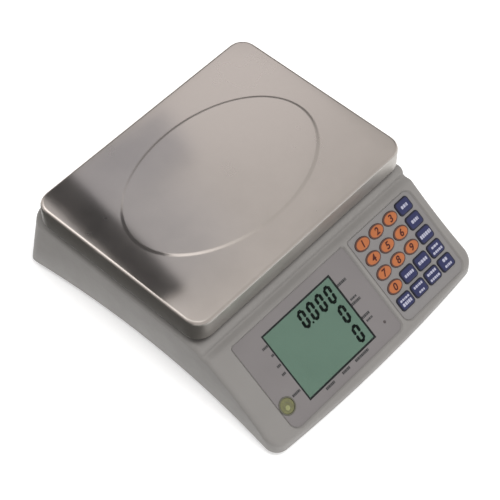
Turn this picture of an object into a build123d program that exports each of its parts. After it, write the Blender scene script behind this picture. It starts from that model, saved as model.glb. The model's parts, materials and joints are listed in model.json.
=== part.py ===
from build123d import *
import math
import os

# Counting scale: a stainless pan on a single-point load cell, over a one-piece upper
# housing whose front slopes down as a panel with a display and a keypad of 20 keys.
# Millimetres. X to the right as seen from the front, Y towards the back, Z up.
# The origin is on the table, under the middle of the scale's outer box.

# Overall sizes
overall_height = 123.0
front_y = -178.0
back_y = 178.0
front_bow = 6.7
back_bow = 3.5

# Pan
pan_width = 300.0
pan_depth = 222.0
pan_sheet = 1.2
pan_skirt = 26.0
pan_corner = 18.0
pan_bend = 4.0
pan_y = 39.0
plateau_half_x = 114.2
plateau_half_y = 72.2
plateau_slope = 4.6
plateau_height = 0.8

# Housing: half widths at the front, waist and back, at the table end and at the top
housing_bottom = 7.5
raised_z = 88.0
deck_z = 79.5
foot_half = (153.0, 138.3, 148.8)
top_half = (155.8, 149.9, 150.5)
foot_corners = (14.0, 9.0)
top_corners = (24.0, 24.0)
waist_y = 10.0
top_back_y = 165.7
side_wall = 2.8
deck_wall = 3.0
panel_wall = 4.5
edge_round = 5.5
crease_round = 8.5
step_y = -66.5
step_round = 8.5
step_foot_round = 2.5
plinth_inset = 14.0
plinth_top = 99.0
plinth_corner = 14.0
plinth_round = 3.0
hub_hole_gap = 7.0

# Sloping panel: local x to the right, v down the slope, w out of the face
panel_angle = 34.7
crease_y = -84.5
recess_depth = 2.0
overlay_sheet = 0.6
overlay_gap = 0.15
recess_bevel = 1.8
display_box = (-122.6, 38.6, 3.2, 105.0)
display_radii = (3.0, 3.0, 6.5, 10.0)
keypad_box = (45.2, 138.0, 3.8, 105.0)
keypad_radii = (3.0, 8.0, 10.0, 8.0)

# Display
lcd_centre_x = -41.4
lcd_centre_v = 53.9
lcd_width = 98.6
lcd_height = 78.6
lcd_border = 3.0
lcd_gap = 0.2
bezel_bottom = -6.0
bezel_flange = 3.0
lcd_glass_bottom = -4.6
lcd_glass_top = -2.4
lcd_board_top = -8.1

# Keys
key_columns = 4
key_rows = 5
key_x = 58.6
key_v = 15.2
key_pitch_x = 21.4
key_pitch_v = 18.05
round_key = (19.6, 13.6)
square_key = (19.4, 15.0)
square_key_corner = 3.4
key_gap = 0.3
key_flange = 0.6
key_travel = 0.8
key_top_w = -0.2
key_top_round = 0.9
key_flange_top = -5.0
key_flange_thick = 1.3
key_stem = 5.0
key_stem_bottom = -8.6
mat_top = -7.6
mat_size = (86.0, 90.0)
mat_well_gap = 0.5
keypad_board_top = -9.8
keypad_board_size = (100.0, 92.0)
keypad_x = key_x + (key_columns - 1) / 2 * key_pitch_x
keypad_v = key_v + (key_rows - 1) / 2 * key_pitch_v

# Bubble level and lamp on the panel
level_x = -113.2
level_v = 81.2
level_diameter = 18.4
level_rim = 1.3
level_flange = 2.0
vial_bottom = -7.6
vial_top = -1.3
vial_round = 0.8
lamp_x = 25.4
lamp_v = 88.0
lamp_diameter = 3.0

# Circuit boards
board_thick = 1.6
board_post = 6.0
board_screw = 2.5
board_screw_head = 5.0
board_screw_head_height = 2.0
board_screw_hole_depth = 3.2
lcd_board_size = (120.0, 96.0)
lcd_post_spread = (55.5, 44.0)
keypad_post_spread = (46.5, 30.0)
main_board_centre = (-45.0, -75.0)
main_board_size = (110.0, 70.0)
main_board_bottom = 17.0
main_post_spread = (50.0, 30.0)

# Base plate and fasteners
base_bottom = 8.5
base_top = 11.5
base_gap = 1.1
screw_columns = [(-130, -68), (130, -68), (-118, 152), (118, 152), (31, -142)]
column_diameter = 9.0
column_bottom = 14.2
housing_screw = 3.5
housing_screw_head = 7.0
housing_screw_head_height = 2.2
housing_screw_bottom = 9.0
housing_screw_top = 25.0
housing_screw_socket = 2.4
thread_gap = 0.05

# Levelling feet
foot_places = {
    "front_left": (-130, -135),
    "front_right": (130, -135),
    "rear_left": (-120, 133),
    "rear_right": (120, 133),
}
foot_pad_diameter = 22.0
foot_pad_height = 3.0
foot_pad_edge = 0.8
foot_boss = 20.0
foot_wheel_diameter = 25.0
foot_wheel_top = 7.0
foot_wheel_gap = 0.05
foot_wheel_scallops = 12
scallop_diameter = 4.0
foot_stud = 8.0
foot_stud_top = 20.0
foot_insert_diameter = 13.0
foot_insert_top = 15.0

# Load cell and what it carries
cell_length = 130.0
cell_width = 30.0
cell_height = 22.0
cell_bottom = 45.0
cell_end = 35.0
cell_hole_spread = 9.0
cell_hole_radius = 7.5
cell_slot_height = 6.0
bracket_bottom = 19.0
base_bolt_seat = 14.2
bolt_spread = 15.0
bolt_x = 47.5
bolt_shank = 6.0
bolt_head = 10.0
bolt_head_height = 5.0
bolt_socket_radius = 2.5
bolt_socket_depth = 2.5
stop_boss = 18.0
stop_boss_top = 34.0
stop_shank = 8.0
stop_gap = 0.7
stop_nut_radius = 7.5
stop_nut_height = 5.0
spacer_height = 8.0
spider_bottom = cell_bottom + cell_height + spacer_height
hub_size = 37.0
hub_wall = 5.0
hub_floor = 6.0
arm_bottom = 104.0
arm_top = 110.0
arm_reach = (122.0, 84.0)
arm_width = 16.0
arm_rib = 5.0
spider_plate = (150.0, 70.0)
buffer_diameter = 14.0
buffer_stem = 6.0
buffer_seat = 2.0

# Battery, with its walls and cover in the base plate
battery_length = 101.0
battery_width = 70.0
battery_height = 47.0
battery_corner = 2.0
battery_y = 118.0
battery_wall = 2.0
battery_wall_top = 34.0
battery_frame = (125.0, 82.0)
battery_frame_top = 14.5
door_opening = (121.0, 78.0)
door_gap = 0.3
door_top = 10.5
door_screw = 3.0
door_screw_head = 5.6
door_screw_x = 56.0

# Switch and inlet in a pocket of the right-hand side
pocket_x = 138.5
pocket_y = 92.0
pocket_z = 42.0
pocket_length = 62.0
pocket_height = 30.0
pocket_wall = 3.0
switch_y = 78.0
switch_body = (21.0, 14.0)
switch_flange = (25.0, 18.0, 1.5)
rocker_recess = (18.0, 10.4)
rocker_size = (8.5, 16.4, 9.6)
rocker_tilt = 8.0
rocker_pivot_x = pocket_x - 1.0
inlet_y = 108.0
inlet_barrel = 11.0
inlet_bore = 6.4
inlet_pin = 2.1

panel_plane = Plane(
    origin=(0, crease_y, deck_z),
    x_dir=(1, 0, 0),
    z_dir=(0, -math.sin(math.radians(panel_angle)), math.cos(math.radians(panel_angle))),
)


def on_panel(x, v, w):
    """Place on the sloping panel: x across, v down the slope, w out of the face."""
    return panel_plane.location * Pos(x, -v, w)


def save(shape, name):
    """Write one node."""
    shape.label = name
    export_step(shape, f"parts/{name}.step")


def block(length, width, bottom, top, x=0.0, y=0.0):
    """Upright box between two heights."""
    return Pos(x, y, (bottom + top) / 2) * Box(length, width, top - bottom)


def post(diameter, bottom, top, x=0.0, y=0.0):
    """Upright cylinder between two heights."""
    return Pos(x, y, (bottom + top) / 2) * Cylinder(diameter / 2, top - bottom)


def panel_post(diameter, bottom, top, x, v):
    """Cylinder square to the panel, between two distances from its face."""
    return on_panel(x, v, (bottom + top) / 2) * Cylinder(diameter / 2, top - bottom)


def panel_block(length, width, bottom, top, x, v):
    """Box square to the panel, between two distances from its face."""
    return on_panel(x, v, (bottom + top) / 2) * Box(length, width, top - bottom)


def corners_of(spread, x=0.0, y=0.0):
    """Four places round a centre."""
    spread_x, spread_y = spread
    return [(x + sx * spread_x, y + sy * spread_y) for sx in (-1, 1) for sy in (-1, 1)]


def cell_bolt_rows():
    """Y of the two bolts at each end of the load cell."""
    return (pan_y - bolt_spread / 2, pan_y + bolt_spread / 2)


def plan_outline(half, corners, front, back, inset=0.0):
    """Plan of the housing: bowed front and back, waisted sides, round corners."""
    front_half, waist_half, back_half = (value - inset for value in half)
    front_right = (front_half, front + front_bow + inset)
    front_left = (-front_half, front + front_bow + inset)
    back_right = (back_half, back - back_bow - inset)
    back_left = (-back_half, back - back_bow - inset)
    sides = Curve() + [
        ThreePointArc(front_left, (0, front + inset), front_right),
        ThreePointArc(front_right, (waist_half, waist_y), back_right),
        ThreePointArc(back_right, (0, back - inset), back_left),
        ThreePointArc(back_left, (-waist_half, waist_y), front_left),
    ]
    face = Sketch() + make_face(sides)
    face = fillet(face.vertices().sort_by(Axis.Y)[:2], corners[0] - inset)
    rear = [vertex for vertex in face.vertices() if abs(vertex.Y - back_right[1]) < 0.01]
    return fillet(rear, corners[1] - inset)


def above_panel(drop):
    """Everything above the plane of the sloping panel, lowered by drop."""
    return on_panel(0, 0, 100 - drop) * Box(500, 600, 200)


def above_step(wall):
    """Everything above the strip in front of the raised body, drawn in by wall."""
    cutter = Pos(0, step_y - 100, deck_z - wall + 50) * Box(500, 200, 100)
    radius = step_round - wall
    cutter -= Pos(0, step_y, deck_z) * Rot(0, 90, 0) * Cylinder(radius, 600)
    if wall > 0:
        cutter -= Pos(0, step_y - radius / 2, deck_z - wall) * Box(600, radius, 2 * wall)
    return cutter


def body_block(inset, bottom, top, deck_drop, panel_drop):
    """Solid of the housing without its plinth, drawn in by inset."""
    low = Pos(0, 0, bottom) * plan_outline(foot_half, foot_corners, front_y, back_y, inset)
    high = Pos(0, 0, top) * plan_outline(top_half, top_corners, front_y, top_back_y, inset)
    return loft(Sketch() + [low, high]) - above_panel(panel_drop) - above_step(deck_drop)


def middle_edges(body, y):
    """Edges that run straight across the housing near the height of the strip, at y."""
    edges = [edge for edge in body.edges() if abs(edge.center().X) < 1]
    edges = [edge for edge in edges if abs(edge.tangent_at(0.5).X) > 0.99]
    return [edge for edge in edges if abs(edge.center().Y - y) < 0.5 and edge.center().Z > deck_z - 1]


def round_top(body):
    """Round the foot of the step, the crease, and the edge between the top and the walls."""
    body = fillet(middle_edges(body, step_y - step_round), step_foot_round)
    body = fillet(middle_edges(body, crease_y), crease_round)
    low = housing_bottom + 0.1
    walls = [face for face in body.faces() if face.bounding_box().min.Z < low]
    walls = [face for face in walls if face.bounding_box().max.Z > low]
    tops = [face for face in body.faces() if face.bounding_box().min.Z > low]
    rims = [edge for edge in ShapeList(walls).edges() if edge in ShapeList(tops).edges()]
    return fillet(rims, edge_round)


def rounded_panel(box, radii, grow=0.0):
    """Flat outline on the panel with its own radius at each corner.

    box is left, right, upper v and lower v. radii run upper left, upper right,
    lower right, lower left.
    """
    left, right, upper, lower = box
    corners = [(left, upper), (right, upper), (right, lower), (left, lower)]
    length = right - left + 2 * grow
    width = lower - upper + 2 * grow
    face = Pos((left + right) / 2, -(upper + lower) / 2) * Rectangle(length, width)
    for (x, v), radius in zip(corners, radii):
        vertex = face.vertices().sort_by_distance((x, -v, 0))[0]
        face = fillet(vertex, radius + grow)
    return face


def recess(box, radii):
    """Cutter for a shallow recess in the panel with a bevelled rim."""
    floor = rounded_panel(box, radii)
    rim = rounded_panel(box, radii, recess_bevel)
    low = Pos(0, 0, -recess_depth) * floor
    high = Pos(0, 0, 0.02) * rim
    return panel_plane.location * loft(Sketch() + [low, high])


def key_outline(round_one, grow=0.0):
    """Plan of a key: an oval digit key or a rounded square function key."""
    if round_one:
        return Ellipse(round_key[0] / 2 + grow, round_key[1] / 2 + grow)
    length, width = square_key
    return RectangleRounded(length + 2 * grow, width + 2 * grow, square_key_corner + grow)


def key_places():
    """Name, kind, x and v of each key, row by row down the panel."""
    places = []
    functions = 0
    for row in range(key_rows):
        for column in range(key_columns):
            digit = row < 3 and column < 3
            zero = row == 3 and column == 0
            if digit:
                name = f"key_digit_{3 * row + column + 1}"
            elif zero:
                name = "key_digit_0"
            else:
                functions += 1
                name = f"key_function_{functions}"
            x = key_x + column * key_pitch_x
            v = key_v + row * key_pitch_v
            places.append((name, digit or zero, x, v))
    return places


def plinth(inset, bottom, top):
    """Raised part of the deck under the pan."""
    length = pan_width - 2 * (plinth_inset + inset)
    width = pan_depth - 2 * (plinth_inset + inset)
    plan = RectangleRounded(length, width, plinth_corner - inset)
    raised = Pos(0, pan_y, bottom) * extrude(plan, top - bottom)
    return fillet(raised.faces().sort_by(Axis.Z)[-1].edges(), plinth_round)


def lcd_board_places():
    """Places of the display board's screws on the panel."""
    return corners_of(lcd_post_spread, lcd_centre_x, lcd_centre_v)


def keypad_board_places():
    """Places of the keypad board's screws on the panel."""
    return corners_of(keypad_post_spread, keypad_x, keypad_v)


def main_board_places():
    """Places of the main board's screws in the base plate."""
    return corners_of(main_post_spread, main_board_centre[0], main_board_centre[1])


def board_screw_hole(board_face, x, v):
    """Blind hole in a post on the panel."""
    hole = board_screw + 2 * thread_gap
    return panel_post(hole, board_face - 1, board_face + board_screw_hole_depth, x, v)


def housing_posts(outer):
    """Screw posts and columns inside the housing, and the thick wall behind the pocket."""
    posts = []
    for x, v in lcd_board_places():
        posts.append(panel_post(board_post, lcd_board_top, 0.5 - panel_wall, x, v))
    for x, v in keypad_board_places():
        posts.append(panel_post(board_post, keypad_board_top, 0.5 - panel_wall, x, v))
    for x, y in screw_columns:
        posts.append(post(column_diameter, column_bottom, plinth_top - 1, x, y) & outer)
    reach = pocket_height / 2 + pocket_wall
    backing = block(2 * pocket_wall, pocket_length + 2 * pocket_wall, pocket_z - reach, pocket_z + reach)
    posts.append(Pos(pocket_x, pocket_y, 0) * backing)
    return posts


def panel_cuts():
    """Recesses and openings of the sloping panel, with the holes in its posts."""
    cuts = [recess(display_box, display_radii), recess(keypad_box, keypad_radii)]
    cuts.append(panel_block(lcd_width, lcd_height, -panel_wall - 1, 1, lcd_centre_x, lcd_centre_v))
    cuts.append(panel_post(level_diameter + 0.3, -panel_wall - 1, 1, level_x, level_v))
    cuts.append(panel_post(lamp_diameter + 0.2, -panel_wall - 1, 1, lamp_x, lamp_v))
    for name, round_one, x, v in key_places():
        hole = extrude(key_outline(round_one, key_gap), panel_wall + 2)
        cuts.append(on_panel(x, v, -panel_wall - 1) * hole)
    for x, v in lcd_board_places():
        cuts.append(board_screw_hole(lcd_board_top, x, v))
    for x, v in keypad_board_places():
        cuts.append(board_screw_hole(keypad_board_top, x, v))
    return cuts


def pocket_cuts():
    """Pocket in the right-hand side, with the openings of its switch and inlet."""
    body_length, body_width = switch_body
    pocket = Box(30, pocket_length, pocket_height)
    opening = Box(20, body_length + 0.4, body_width + 0.4)
    barrel = Rot(0, 90, 0) * Cylinder(inlet_barrel / 2 + 0.2, 20)
    return [
        Pos(pocket_x + 15, pocket_y, pocket_z) * pocket,
        Pos(pocket_x, switch_y, pocket_z) * opening,
        Pos(pocket_x, inlet_y, pocket_z) * barrel,
    ]


def make_upper_housing():
    """Moulded shell: raised top, plinth, sloping panel and side walls, open below."""
    outer = round_top(body_block(0, housing_bottom, raised_z, 0, 0))
    outer += plinth(0, raised_z - deck_wall - 1, plinth_top)
    inner = body_block(side_wall, housing_bottom - 1, raised_z - deck_wall, deck_wall, panel_wall)
    inner += plinth(side_wall, raised_z - deck_wall - 1, plinth_top - deck_wall)
    shell = outer - inner
    hole = hub_size + 2 * hub_hole_gap
    shell -= block(hole, hole, deck_z, plinth_top + 5, bolt_x, pan_y)
    shell += housing_posts(outer)
    cuts = panel_cuts() + pocket_cuts()
    for x, y in screw_columns:
        hole = housing_screw + 2 * thread_gap
        cuts.append(post(hole, column_bottom - 1, housing_screw_top + 1, x, y))
    for cut in cuts:
        shell -= cut
    return shell


def base_bosses():
    """Bosses, pads and battery walls that stand on the base plate."""
    bosses = []
    for x, y in foot_places.values():
        bosses.append(post(foot_boss, base_bottom, foot_insert_top, x, y))
    for x, y in screw_columns:
        bosses.append(post(column_diameter + 2, base_bottom, column_bottom - 0.2, x, y))
    for x, y in main_board_places():
        bosses.append(post(board_post, base_bottom, main_board_bottom, x, y))
    bosses.append(block(cell_end + 9, cell_width + 10, base_bottom, bracket_bottom, -bolt_x, pan_y))
    bosses.append(post(stop_boss, base_bottom, stop_boss_top, bolt_x, pan_y))
    frame_length, frame_width = battery_frame
    bosses.append(block(frame_length, frame_width, base_bottom, battery_frame_top, 0, battery_y))
    tray_length = battery_length + 2 * battery_wall + 1
    tray_width = battery_width + 2 * battery_wall + 1
    bosses.append(block(tray_length, tray_width, base_bottom, battery_wall_top, 0, battery_y))
    return bosses


def base_cuts():
    """Battery opening and screw holes of the base plate."""
    below = base_bottom - 1
    door_length, door_width = door_opening
    cuts = [block(battery_length + 1, battery_width + 1, below, battery_wall_top + 1, 0, battery_y)]
    cuts.append(block(door_length, door_width, below, door_top + 0.1, 0, battery_y))
    for x, y in foot_places.values():
        cuts.append(post(foot_insert_diameter, below, foot_insert_top + 1, x, y))
    for x, y in screw_columns:
        cuts.append(post(housing_screw + 0.5, below, column_bottom + 1, x, y))
        head_top = housing_screw_bottom + housing_screw_head_height
        cuts.append(post(housing_screw_head + 0.6, below, head_top, x, y))
    for x, y in main_board_places():
        cuts.append(post(board_screw + 2 * thread_gap, base_top, main_board_bottom + 1, x, y))
    for y in cell_bolt_rows():
        cuts.append(post(bolt_shank + 0.5, below, bracket_bottom + 1, -bolt_x, y))
        cuts.append(post(bolt_head + 0.8, below, base_bolt_seat, -bolt_x, y))
    cuts.append(post(stop_shank + 2 * thread_gap, below, stop_boss_top + 1, bolt_x, pan_y))
    for x in (-door_screw_x, door_screw_x):
        hole = door_screw + 2 * thread_gap
        cuts.append(post(hole, base_bottom, battery_frame_top + 1, x, battery_y))
    return cuts


def make_base_plate():
    """Floor of the scale, with bosses for its feet, bracket, board and battery."""
    plan = plan_outline(foot_half, foot_corners, front_y, back_y, side_wall + base_gap)
    plate = Pos(0, 0, base_bottom) * extrude(plan, base_top - base_bottom)
    plate += base_bosses()
    for cut in base_cuts():
        plate -= cut
    return plate


def make_housing_screws():
    """Five screws up through the base plate."""
    screws = []
    for x, y in screw_columns:
        head_top = housing_screw_bottom + housing_screw_head_height
        screw = post(housing_screw_head, housing_screw_bottom, head_top, x, y)
        screw += post(housing_screw, head_top, housing_screw_top, x, y)
        screws.append(screw - post(housing_screw_socket, 0, housing_screw_bottom + 1.2, x, y))
    return Compound(screws)


def make_door_screws():
    """Two screws that hold the battery door."""
    screws = []
    for x in (-door_screw_x, door_screw_x):
        screw = post(door_screw_head, base_bottom - 0.9, base_bottom, x, battery_y)
        screws.append(screw + post(door_screw, base_bottom, battery_frame_top - 0.5, x, battery_y))
    return Compound(screws)


def make_battery_door():
    """Cover under the battery."""
    opening_length, opening_width = door_opening
    length = opening_length - 2 * door_gap
    width = opening_width - 2 * door_gap
    door = block(length, width, base_bottom, door_top, 0, battery_y)
    for x in (-door_screw_x, door_screw_x):
        door -= post(door_screw + 0.4, 0, 20, x, battery_y)
    return door


def make_battery():
    """Sealed lead-acid block with two terminals on top."""
    top = door_top + battery_height
    case = block(battery_length, battery_width, door_top + 0.1, top - 3, 0, battery_y)
    case = fillet(case.edges().filter_by(Axis.Z), battery_corner)
    for x in (-38, 38):
        case += block(6, 5, top - 4, top, x, battery_y - 26)
    return case


def make_load_cell():
    """Bending beam of square section, thinned by a double hole."""
    middle = cell_bottom + cell_height / 2
    top = cell_bottom + cell_height
    cell = block(cell_length, cell_width, cell_bottom, top, 0, pan_y)
    for x in (-cell_hole_spread, cell_hole_spread):
        cell -= Pos(x, pan_y, middle) * Rot(90, 0, 0) * Cylinder(cell_hole_radius, cell_width + 2)
    cell -= Pos(0, pan_y, middle) * Box(2 * cell_hole_spread, cell_width + 2, cell_slot_height)
    for x in (-bolt_x, bolt_x):
        for y in cell_bolt_rows():
            cell -= post(bolt_shank + 2 * thread_gap, cell_bottom - 1, top + 1, x, y)
    return cell


def make_cell_end_block(x, bottom, top):
    """Aluminium block between the load cell and what it is bolted to."""
    piece = block(cell_end, cell_width, bottom, top, x, pan_y)
    for y in cell_bolt_rows():
        piece -= post(bolt_shank + 0.4, bottom - 1, top + 1, x, y)
    return piece


def make_cell_bolts(x, seat, end, head_direction):
    """Pair of socket-head bolts; head_direction is 1 where the heads are on top."""
    bolts = []
    for y in cell_bolt_rows():
        head = sorted((seat, seat + head_direction * bolt_head_height))
        bolt = post(bolt_head, head[0], head[1], x, y)
        bolt += post(bolt_shank, min(seat, end), max(seat, end), x, y)
        socket_end = seat + head_direction * bolt_head_height
        socket = extrude(RegularPolygon(bolt_socket_radius, 6), bolt_socket_depth, both=True)
        bolts.append(bolt - Pos(x, y, socket_end) * socket)
    return Compound(bolts)


def make_overload_stop():
    """Stop screw with its lock nut, just under the free end of the load cell."""
    stop = post(stop_shank, base_bottom + 1, cell_bottom - stop_gap, bolt_x, pan_y)
    nut = extrude(RegularPolygon(stop_nut_radius, 6), stop_nut_height)
    return stop + Pos(bolt_x, pan_y, stop_boss_top) * nut


def make_pan_support():
    """Cast spider: hollow hub over the load cell's free end and four arms."""
    hub = block(hub_size, hub_size, spider_bottom, arm_top, bolt_x, pan_y)
    plate_length, plate_width = spider_plate
    spider = hub + block(plate_length, plate_width, arm_bottom, arm_top, 0, pan_y)
    reach_x, reach_y = arm_reach
    angle = math.degrees(math.atan2(reach_y, reach_x))
    length = 2 * math.hypot(reach_x, reach_y)
    for turn in (angle, -angle):
        arm = Box(length, arm_width, arm_top - arm_bottom)
        rib = Pos(0, 0, -(arm_top - arm_bottom) / 2 - 1) * Box(length - 20, arm_rib, 3)
        spider += Pos(0, pan_y, (arm_bottom + arm_top) / 2) * Rot(0, 0, turn) * (arm + rib)
    for x, y in corners_of(arm_reach, 0, pan_y):
        spider += post(arm_width + 6, arm_bottom, arm_top + buffer_seat, x, y)
    for x, y in corners_of(arm_reach, 0, pan_y):
        spider -= post(buffer_stem + 0.2, arm_bottom + 2, arm_top + 5, x, y)
    inside = hub_size - 2 * hub_wall
    spider -= block(inside, inside, spider_bottom + hub_floor, arm_top + 5, bolt_x, pan_y)
    for y in cell_bolt_rows():
        spider -= post(bolt_shank + 0.4, spider_bottom - 1, spider_bottom + hub_floor + 1, bolt_x, y)
    return spider


def make_pan_buffers():
    """Rubber buffers that carry the pan."""
    buffers = []
    seat = arm_top + buffer_seat
    top = overall_height - plateau_height - pan_sheet
    for x, y in corners_of(arm_reach, 0, pan_y):
        pad = post(buffer_diameter, seat, top, x, y)
        buffers.append(pad + post(buffer_stem, arm_bottom + 2.2, seat, x, y))
    return Compound(buffers)


def plateau(bottom):
    """Oval raised middle of the pan, from its foot up to its flat top."""
    foot = Ellipse(plateau_half_x + plateau_slope, plateau_half_y + plateau_slope)
    crown = Ellipse(plateau_half_x, plateau_half_y)
    return Pos(0, pan_y, bottom) * loft(Sketch() + [foot, Pos(0, 0, plateau_height) * crown])


def make_pan():
    """Pressed stainless pan with a skirt all round and a raised oval middle."""
    bottom = overall_height - pan_skirt
    flat = overall_height - plateau_height
    plan = RectangleRounded(pan_width, pan_depth, pan_corner)
    outer = Pos(0, pan_y, bottom) * extrude(plan, flat - bottom)
    outer = fillet(outer.faces().sort_by(Axis.Z)[-1].edges(), pan_bend)
    outer += plateau(flat)
    inner_length = pan_width - 2 * pan_sheet
    inner_width = pan_depth - 2 * pan_sheet
    inner_plan = RectangleRounded(inner_length, inner_width, pan_corner - pan_sheet)
    inner = Pos(0, pan_y, bottom - 1) * extrude(inner_plan, flat - pan_sheet - bottom + 1)
    inner = fillet(inner.faces().sort_by(Axis.Z)[-1].edges(), pan_bend - pan_sheet)
    inner += plateau(flat - pan_sheet)
    return outer - inner


def make_display_overlay():
    """Printed film of the display side, open at the display, level and lamp."""
    film = extrude(rounded_panel(display_box, display_radii, -overlay_gap), overlay_sheet)
    film = on_panel(0, 0, -recess_depth) * film
    film -= panel_block(lcd_width, lcd_height, -4, 1, lcd_centre_x, lcd_centre_v)
    film -= panel_post(level_diameter + 0.3, -4, 1, level_x, level_v)
    film -= panel_post(lamp_diameter + 0.2, -4, 1, lamp_x, lamp_v)
    return film


def make_keypad_overlay():
    """Printed film of the keypad side, with a hole for each key."""
    film = extrude(rounded_panel(keypad_box, keypad_radii, -overlay_gap), overlay_sheet)
    film = on_panel(0, 0, -recess_depth) * film
    for name, round_one, x, v in key_places():
        film -= on_panel(x, v, -4) * extrude(key_outline(round_one, key_gap), 6)
    return film


def display_layer(grow, bottom, top):
    """Plate centred on the display, larger than its opening by grow on each side."""
    length = lcd_width + 2 * grow
    width = lcd_height + 2 * grow
    return panel_block(length, width, bottom, top, lcd_centre_x, lcd_centre_v)


def make_display_window():
    """Clear window over the display."""
    return display_layer(-lcd_gap, -recess_depth, overlay_sheet - recess_depth)


def make_lcd_bezel():
    """Black frame round the display, with a flange behind the panel."""
    frame = display_layer(-lcd_gap, bezel_bottom, -recess_depth - 0.05)
    frame += display_layer(bezel_flange, bezel_bottom, -panel_wall - 0.1)
    return frame - display_layer(-lcd_border, bezel_bottom - 1, 0)


def make_lcd_glass():
    """Glass of the display, inside the bezel."""
    return display_layer(-lcd_border - lcd_gap, lcd_glass_bottom, lcd_glass_top)


def make_lcd_board():
    """Circuit board behind the display, with its backlight."""
    length, width = lcd_board_size
    back = lcd_board_top - board_thick
    board = panel_block(length, width, back, lcd_board_top, lcd_centre_x, lcd_centre_v)
    board += display_layer(-lcd_border - lcd_gap, lcd_board_top, lcd_glass_bottom - 0.1)
    for x in (-30, -10, 10):
        board += panel_block(12, 12, back - 2, back, lcd_centre_x + x, lcd_centre_v)
    for x, v in lcd_board_places():
        board -= panel_post(board_screw + 0.4, -15, 0, x, v)
    return board


def make_keypad_board():
    """Circuit board under the keys."""
    length, width = keypad_board_size
    back = keypad_board_top - board_thick
    board = panel_block(length, width, back, keypad_board_top, keypad_x, keypad_v)
    for x, v in keypad_board_places():
        board -= panel_post(board_screw + 0.4, -15, 0, x, v)
    return board


def make_keypad_mat():
    """Rubber mat with a well for the stem of each key."""
    length, width = mat_size
    mat = panel_block(length, width, keypad_board_top, mat_top, keypad_x, keypad_v)
    for name, round_one, x, v in key_places():
        mat -= panel_post(key_stem + 2 * mat_well_gap, keypad_board_top - 1, mat_top + 1, x, v)
    return mat


def make_main_board():
    """Main circuit board with its larger components."""
    x, y = main_board_centre
    length, width = main_board_size
    top = main_board_bottom + board_thick
    board = block(length, width, main_board_bottom, top, x, y)
    board += block(22, 18, top, top + 9, x - 32, y + 18)
    board += block(14, 14, top, top + 2.5, x + 4, y - 6)
    board += block(30, 8, top, top + 7, x + 30, y - 26)
    for offset in (0, 11):
        board += post(8, top, top + 12, x - 10 + offset, y + 22)
    for post_x, post_y in main_board_places():
        board -= post(board_screw + 0.4, main_board_bottom - 1, top + 1, post_x, post_y)
    return board


def make_board_screws():
    """Screws of the three circuit boards."""
    screws = []
    top = main_board_bottom + board_thick
    for x, y in main_board_places():
        screw = post(board_screw_head, top, top + board_screw_head_height, x, y)
        screws.append(screw + post(board_screw, top - 5.5, top, x, y))
    panel_sets = [
        (lcd_board_places(), lcd_board_top - board_thick),
        (keypad_board_places(), keypad_board_top - board_thick),
    ]
    for places, seat in panel_sets:
        for x, v in places:
            head = panel_post(board_screw_head, seat - board_screw_head_height, seat, x, v)
            screws.append(head + panel_post(board_screw, seat, seat + 4.5, x, v))
    return Compound(screws)


def make_key(round_one, x, v):
    """Moulded key: cap through the panel, flange behind it and stem below."""
    cap = extrude(key_outline(round_one), key_top_w - key_flange_top)
    cap = fillet(cap.faces().sort_by(Axis.Z)[-1].edges(), key_top_round)
    flange = extrude(key_outline(round_one, key_flange), key_flange_thick)
    stem_length = key_flange_top - key_flange_thick - key_stem_bottom
    stem = Pos(0, 0, -stem_length / 2) * Cylinder(key_stem / 2, stem_length)
    return on_panel(x, v, key_flange_top) * (cap + Pos(0, 0, -key_flange_thick) * (flange + stem))


def make_level_cup():
    """Ring-shaped housing of the bubble level."""
    cup = panel_post(level_diameter, vial_bottom - 1.4, -1.0, level_x, level_v)
    cup += panel_post(level_diameter + 2 * level_flange, -6.2, -4.6, level_x, level_v)
    return cup - panel_post(level_diameter - 2 * level_rim, vial_bottom, 1, level_x, level_v)


def make_level_vial():
    """Clear vial of the bubble level, slightly domed."""
    radius = level_diameter / 2 - level_rim - 0.05
    vial = extrude(Circle(radius), vial_top - vial_bottom)
    vial = fillet(vial.faces().sort_by(Axis.Z)[-1].edges(), vial_round)
    return on_panel(level_x, level_v, vial_bottom) * vial


def make_charge_lamp():
    """Lamp that shows the battery charging."""
    lamp = extrude(Circle(lamp_diameter / 2), 6.3)
    lamp = fillet(lamp.faces().sort_by(Axis.Z)[-1].edges(), 1.0)
    lamp += extrude(Circle(lamp_diameter / 2 + 0.6), 1.2)
    return on_panel(lamp_x, lamp_v, -7.5) * lamp


def make_switch_body():
    """Body of the rocker switch in the side pocket."""
    length, width = switch_body
    flange_length, flange_width, flange_thick = switch_flange
    recess_length, recess_width = rocker_recess
    body = Pos(-10, 0, 0) * Box(20, length, width)
    body += Pos(flange_thick / 2, 0, 0) * Box(flange_thick, flange_length, flange_width)
    body -= Box(16, recess_length, recess_width)
    return Pos(pocket_x, switch_y, pocket_z) * body


def make_power_rocker():
    """Rocker of the power switch, resting in its off position."""
    length, width, height = rocker_size
    rocker = Box(length, width, height)
    rocker = fillet(rocker.edges().filter_by(Axis.Z), 1.0)
    return Pos(rocker_pivot_x, switch_y, pocket_z) * Rot(0, 0, -rocker_tilt) * rocker


def make_power_inlet():
    """Barrel socket for the mains adapter."""
    lengthwise = Rot(0, 90, 0)
    inlet = Pos(-12, 0, 0) * Box(15, 14, 13)
    inlet += Pos(-2, 0, 0) * lengthwise * Cylinder(inlet_barrel / 2, 7)
    inlet -= Pos(-3, 0, 0) * lengthwise * Cylinder(inlet_bore / 2, 12)
    inlet += Pos(-4.5, 0, 0) * lengthwise * Cylinder(inlet_pin / 2, 10)
    return Pos(pocket_x, inlet_y, pocket_z) * inlet


def make_foot_pad(x, y):
    """Rubber pad that stays still on the table."""
    pad = post(foot_pad_diameter, 0, foot_pad_height, x, y)
    return chamfer(pad.faces().sort_by(Axis.Z)[-1].edges(), foot_pad_edge)


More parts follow.
